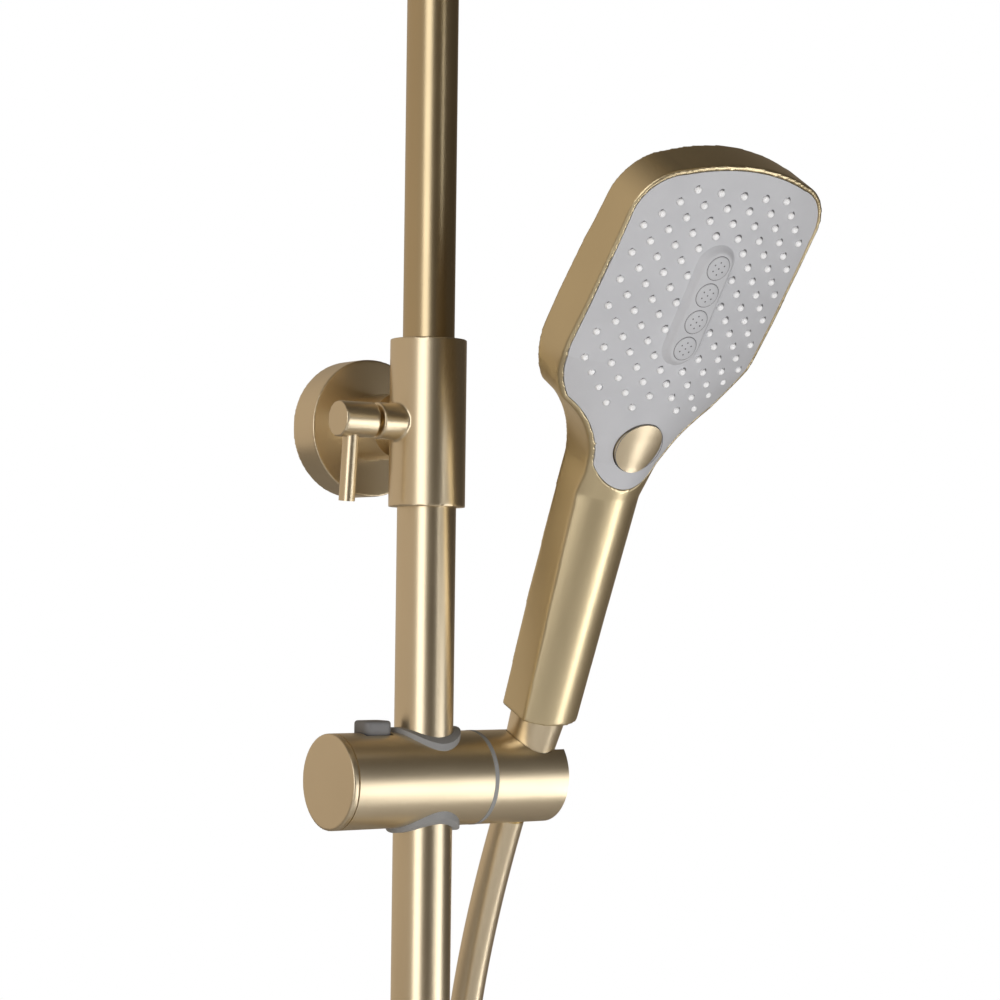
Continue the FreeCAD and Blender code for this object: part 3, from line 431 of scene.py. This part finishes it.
def jets():
    """Four round inserts in the strip, each with a ring of fine holes round a middle one, drawn as
    dark dots of painted shade, and a dark ring of painted shade on the gap round each insert.
    """
    inserts = bmesh.new()
    gaps = bmesh.new()
    pinholes = bmesh.new()
    top = STRIP_TOP + 0.35
    gap_height = STRIP_TOP + 0.02
    profile = [
        (JET_RADIUS, -1.2), (JET_RADIUS, top - 0.25), (5.05, top - 0.08), (4.8, top), (0, top),
    ]
    for number in range(4):
        place = on_face(0, -number * JET_PITCH)
        turn(inserts, profile, place, 40)
        # painted shade: a thin dark ring on the gap round the insert
        turn(gaps, [(5.15, gap_height), (5.45, gap_height)], place, 40)
        spots = [(0.0, 0.0)]
        for step in range(6):
            angle = math.pi * (step + 0.5) / 3
            spots.append((PINHOLE_RING * math.cos(angle), PINHOLE_RING * math.sin(angle)))
        for x, y in spots:
            spot = place @ Matrix.Translation((x, y, top))
            # painted shade: a dark dot for each pinhole
            turn(pinholes, [(0.36, 0.005), (0.3, 0.02), (0, 0.02)], spot, 12)
    inserts = add_mesh("jet_inserts", inserts, GREY_FACE, "handset")
    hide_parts("jet_discs")
    add_mesh("jet_insert_gap_shade", gaps, GAP_SHADOW_PAINT, "handset")
    add_mesh("jet_pinhole_shade", pinholes, GAP_SHADOW_PAINT, "handset")


def select_button_seam_shadow():
    """Painted shade: a dark ring on the face where the clearance round the spray button is."""
    data = bmesh.new()
    turn(data, [(11.15, -0.30), (11.5, -0.30)], on_face(0, SELECT_UP), 60)
    add_mesh("select_button_seam_shadow", data, GAP_SHADOW_PAINT, "handset")


# ---------------------------------------------------------------- rain head nozzles
def rain_nozzles():
    """Ninety soft tips in five rings under the rain head, 20 mm between rings."""
    low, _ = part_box("rain_nozzles")
    middle = centre("rain_nozzles")
    data = bmesh.new()
    profile = [(1.6, 4.4), (1.6, 1.4), (1.45, 0.7), (1.1, 0.15), (0.7, 0.0), (0.4, 0.1), (0, 0.6)]
    for number in range(1, 6):
        for step in range(6 * number):
            angle = 2 * math.pi * step / (6 * number)
            radius = 20 * MM * number
            spot = Vector((
                middle.x + radius * math.cos(angle), middle.y + radius * math.sin(angle), low[2]
            ))
            turn(data, profile, Matrix.Translation(spot) @ Matrix.Scale(MM, 4), 14)
    tips = add_mesh("rain_nozzle_tips", data, SILICONE, "rain_head")
    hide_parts("rain_nozzles")


# ---------------------------------------------------------------- small pieces
def soft_button():
    """The slider's push button: a rounded cap with a gently crowned top, and its wedge."""
    low, high = (Vector(corner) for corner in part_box("slider_button"))
    size = high - low
    data = bmesh.new()
    bmesh.ops.create_cube(data, size=1)
    cap_height = 8 * MM
    for vertex in data.verts:
        vertex.co = Vector((
            (low.x + high.x) / 2 + vertex.co.x * size.x,
            (low.y + high.y) / 2 + vertex.co.y * size.y,
            high.z - cap_height / 2 + vertex.co.z * cap_height,
        ))
    upright = [edge for edge in data.edges
               if abs(edge.verts[0].co.z - edge.verts[1].co.z) > cap_height / 2]
    bmesh.ops.bevel(data, geom=upright, offset=3.2 * MM, segments=8, affect="EDGES",
                    profile=0.5)
    top = [edge for edge in data.edges
           if min(vertex.co.z for vertex in edge.verts) > high.z - 0.01 * MM]
    bmesh.ops.bevel(data, geom=top, offset=1.3 * MM, segments=5, affect="EDGES", profile=0.5)
    wedge = bmesh.ops.create_cube(data, size=1)["verts"]
    wedge_top = high.z - cap_height + 0.5 * MM
    for vertex in wedge:
        vertex.co = Vector((
            high.x - 2.5 * MM + vertex.co.x * 5 * MM,
            (low.y + high.y) / 2 + vertex.co.y * 4.8 * MM,
            (low.z + wedge_top) / 2 + vertex.co.z * (wedge_top - low.z),
        ))
    piece = add_mesh("slider_button_cap", data, BUTTON_GREY, "slider_push_button")
    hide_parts("slider_button")


def screw_thread():
    """The clamp screw's thread where it shows between the lever and the sleeve's boss."""
    low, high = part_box("clamp_screw")
    data = bmesh.new()
    pitch = 0.8
    crest, root = 4.03, 3.55
    length = (high[0] - low[0]) / MM
    turns = int(length / pitch)
    profile = [(0, 0)]
    for step in range(turns):
        profile.append((root, step * pitch))
        profile.append((crest, (step + 0.5) * pitch))
    profile += [(root, turns * pitch), (0, turns * pitch)]
    place = along(Vector((low[0], COLUMN_Y * MM, 0)), (1, 0, 0)) @ Matrix.Scale(MM, 4)
    turn(data, profile, place, 28)
    piece = add_mesh("clamp_screw_thread", data, BRASS, "clamp_lever")
    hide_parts("clamp_screw")


def coil(name, start, end, radius, wire, turns, body, node):
    """A round-wire spring between two points, in metres."""
    axis = end - start
    place = along(start, axis)
    curve = bpy.data.curves.new(name, "CURVE")
    curve.dimensions = "3D"
    curve.bevel_depth = wire
    curve.bevel_resolution = 3
    spline = curve.splines.new("POLY")
    steps = turns * 20
    spline.points.add(steps)
    for step in range(steps + 1):
        angle = 2 * math.pi * turns * step / steps
        height = wire + (axis.length - 2 * wire) * step / steps
        spot = place @ Vector((radius * math.cos(angle), radius * math.sin(angle), height))
        spline.points[step].co = (*spot, 1)
    curve.materials.append(STEEL)
    mesh = bpy.data.meshes.new_from_object(bpy.data.objects.new(name + "_line", curve))
    piece = bpy.data.objects.new(name, mesh)
    scene.collection.objects.link(piece)
    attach(piece, body)
    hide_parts(node)
    return piece


def springs():
    """The brake's, the push button's and the spray button's springs, as wound wire."""
    wire = 0.4 * MM
    coil_radius = 2.8 * MM
    low, high = (Vector(corner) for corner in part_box("brake_spring"))
    middle = (low + high) / 2
    coil("brake_spring_coil", Vector((low.x, middle.y, middle.z)),
         Vector((high.x, middle.y, middle.z)), coil_radius, wire, 9, "slider", "brake_spring")
    low, high = (Vector(corner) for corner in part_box("button_spring"))
    middle = (low + high) / 2
    piece = coil("button_spring_coil", Vector((middle.x, middle.y, low.z)),
                 Vector((middle.x, middle.y, high.z)), coil_radius, wire, 5, "slider",
                 "button_spring")
    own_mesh(piece)
    bottom = on_face(0, SELECT_UP).translation - FACE_OUT * 9 * MM
    coil("select_spring_coil", bottom, bottom + FACE_OUT * 1.4 * MM, 7.6 * MM, 0.35 * MM, 2,
         "handset", "spray_select_spring")


# ---------------------------------------------------------------- hose
HOSE_ROUTE = [
    (51, -51.7, -168.2), (51, -8.2, -263.7), (56, -13, -400), (71, -12, -538),
    (94, -16, -684), (115, -21, -828), (127, -27, -912), (128, -33, -984),
    (94, -41, -1029), (40, -48, -1044), (-12, -55, -1022), (-40, -59, -973),
    (-30, -60, -902), (0, -60, -843), (0, -60, -769),
]
HOSE_RADIUS = 7 * MM


def hose_stretch(name, points, radius=HOSE_RADIUS):
    """One stretch of hose round a smooth curve that its points steer: (piece, centreline)."""
    curve = bpy.data.curves.new(name + "_line", "CURVE")
    curve.dimensions = "3D"
    curve.resolution_u = 24
    spline = curve.splines.new("NURBS")
    spline.points.add(len(points) - 1)
    for point, place in zip(spline.points, points):
        point.co = (*place, 1)
    spline.order_u = 3
    spline.use_endpoint_u = True
    line = bpy.data.objects.new(name + "_line", curve)
    centreline = [vertex.co.copy() for vertex in bpy.data.meshes.new_from_object(line).vertices]
    curve.bevel_depth = radius
    curve.bevel_resolution = 8
    mesh = bpy.data.meshes.new_from_object(line)
    mesh.materials.clear()
    mesh.materials.append(HOSE)
    for face in mesh.polygons:
        face.use_smooth = True
    piece = bpy.data.objects.new(name, mesh)
    scene.collection.objects.link(piece)
    return piece, centreline


def hose():
    """Three stretches, split half way along runs; the loop rides on the column and the other two
    are left where they are drawn, on no body.

    The lengths are the hose's own, in metres, from one split to the next.
    """
    route = [mm(*point) for point in HOSE_ROUTE]
    middle = route[1].lerp(route[2], 0.5)
    low = route[8].lerp(route[9], 0.5)
    stretches = [
        ("hose_upper", [route[0], route[1], middle], 0.176, ("slider", "holder")),
        ("hose_side", [middle, *route[2:9], low], 0.722, ("column", "slider")),
        ("hose_loop", [low, *route[9:]], 0.358, None),
    ]
    for name, points, length, pair in stretches:
        piece, centreline = hose_stretch(name, points)
        if pair is None:
            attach(piece, "column")
            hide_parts("hose")
        else:
            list(pair)
            tuple(points[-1])
            tuple(points[0])
            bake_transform(piece)
        tuple(points[0])
        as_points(centreline)
    # the tail inside the hose's end, which shows when the handset is lifted
    first = [route[0].lerp(route[1], share) for share in (0, 0.2, 0.42)]
    core, _ = hose_stretch("hose_end_core", first, 5.4 * MM)
    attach(core, "hose_connector")


spray_nozzles()
jet_strip()
jets()
select_button_seam_shadow()
rain_nozzles()
soft_button()
screw_thread()
springs()
hose()

# ---------------------------------------------------------------- camera, light and floor
CAMERA_PLACE = mm(-626.1, -978.06, -74.4)
CAMERA_TURN = math.radians(35.893)
CAMERA_RISE = math.radians(2.184)
CAMERA_ROLL = math.radians(0.678)
LIT_SPOT = mm(20, -80, 0)
FLOOR_RADIUS = 4.0


def make_camera():
    """A long lens left of the column and turned right, its height between clamp and slider."""
    forward = Vector((
        math.sin(CAMERA_TURN) * math.cos(CAMERA_RISE),
        math.cos(CAMERA_TURN) * math.cos(CAMERA_RISE),
        math.sin(CAMERA_RISE),
    ))
    level = Vector((math.cos(CAMERA_TURN), -math.sin(CAMERA_TURN), 0))
    upright = level.cross(forward)
    right = level * math.cos(CAMERA_ROLL) + upright * math.sin(CAMERA_ROLL)
    up = right.cross(forward)
    data = bpy.data.cameras.new("camera")
    data.sensor_width = 36
    data.lens = 94.59
    camera = bpy.data.objects.new("camera", data)
    scene.collection.objects.link(camera)
    axes = Matrix((right, up, -forward)).transposed().to_4x4()
    camera.matrix_world = Matrix.Translation(CAMERA_PLACE) @ axes
    scene.camera = camera


def heading(degrees):
    """A level direction from the column, turned to the camera's right of the line to it."""
    towards = Vector((-math.sin(CAMERA_TURN), -math.cos(CAMERA_TURN), 0))
    right = Vector((math.cos(CAMERA_TURN), -math.sin(CAMERA_TURN), 0))
    angle = math.radians(degrees)
    return towards * math.cos(angle) + right * math.sin(angle)


def softbox(name, degrees, distance, width, height, rise, power):
    """A rectangular light that faces the upper bracket, in metres and watts."""
    data = bpy.data.lights.new(name, "AREA")
    data.shape = "RECTANGLE"
    data.size = width
    data.size_y = height
    data.energy = power
    light = bpy.data.objects.new(name, data)
    light.location = LIT_SPOT + heading(degrees) * distance + Vector((0, 0, rise))
    light.rotation_euler = (LIT_SPOT - light.location).to_track_quat("-Z", "Y").to_euler()
    scene.collection.objects.link(light)
    return light


def studio():
    """Five softboxes and the room; the last softbox doesn't show in the metal."""
    softbox("key", degrees=-15, distance=2.2, width=1.1, height=2.6, rise=0.2, power=17)
    softbox("strip", degrees=53, distance=2.2, width=0.16, height=2.2, rise=0.1, power=2.6)
    softbox("drum_light", degrees=74, distance=1.6, width=0.8, height=0.8, rise=-0.54, power=4.5)
    softbox("handle_light", degrees=88, distance=1.0, width=0.14, height=0.3, rise=-0.74,
            power=0.9)
    face_fill = softbox("face_fill", degrees=22, distance=1.2, width=1.1, height=0.5, rise=-0.8,
                        power=7)
    face_fill.visible_glossy = False
    room_light()


def room_light():
    """White paper behind, and a room that is brighter on the left than on the right."""
    world = bpy.data.worlds.new("studio")
    world.use_nodes = True
    nodes, links = world.node_tree.nodes, world.node_tree.links
    paper = nodes["Background"]
    paper.inputs["Color"].default_value = (1, 1, 1, 1)
    room = nodes.new("ShaderNodeBackground")
    room.inputs["Color"].default_value = (1.0, 0.84, 0.66, 1)
    place = nodes.new("ShaderNodeTexCoord")
    facing = nodes.new("ShaderNodeVectorMath")
    facing.operation = "DOT_PRODUCT"
    facing.inputs[1].default_value = heading(-105) - Vector((0, 0, 0.4))
    shade = nodes.new("ShaderNodeMapRange")
    shade.interpolation_type = "SMOOTHSTEP"
    shade.inputs["From Min"].default_value = -0.6
    shade.inputs["From Max"].default_value = 0.8
    shade.inputs["To Min"].default_value = 0.07
    shade.inputs["To Max"].default_value = 0.52
    links.new(place.outputs["Generated"], facing.inputs[0])
    links.new(facing.outputs["Value"], shade.inputs["Value"])
    links.new(shade.outputs["Result"], room.inputs["Strength"])
    path = nodes.new("ShaderNodeLightPath")
    mix = nodes.new("ShaderNodeMixShader")
    links.new(path.outputs["Is Camera Ray"], mix.inputs["Fac"])
    links.new(room.outputs["Background"], mix.inputs[1])
    links.new(paper.outputs["Background"], mix.inputs[2])
    links.new(mix.outputs["Shader"], nodes["World Output"].inputs["Surface"])
    scene.world = world
    scene.view_settings.view_transform = "Standard"


def floor():
    """A pale round floor under the hose's loop."""
    data = bmesh.new()
    bmesh.ops.create_circle(data, cap_ends=True, segments=96, radius=FLOOR_RADIUS)
    mesh = bpy.data.meshes.new("floor")
    data.to_mesh(mesh)
    data.free()
    material = plastic("pale_floor", (0.80, 0.80, 0.80), (0.83, 0.83, 0.83), 0.6)
    mesh.materials.append(material)
    piece = bpy.data.objects.new("floor", mesh)
    piece.location = (0, -0.2, cad_box[0][2] - 0.03)
    scene.collection.objects.link(piece)


make_camera()
studio()
floor()
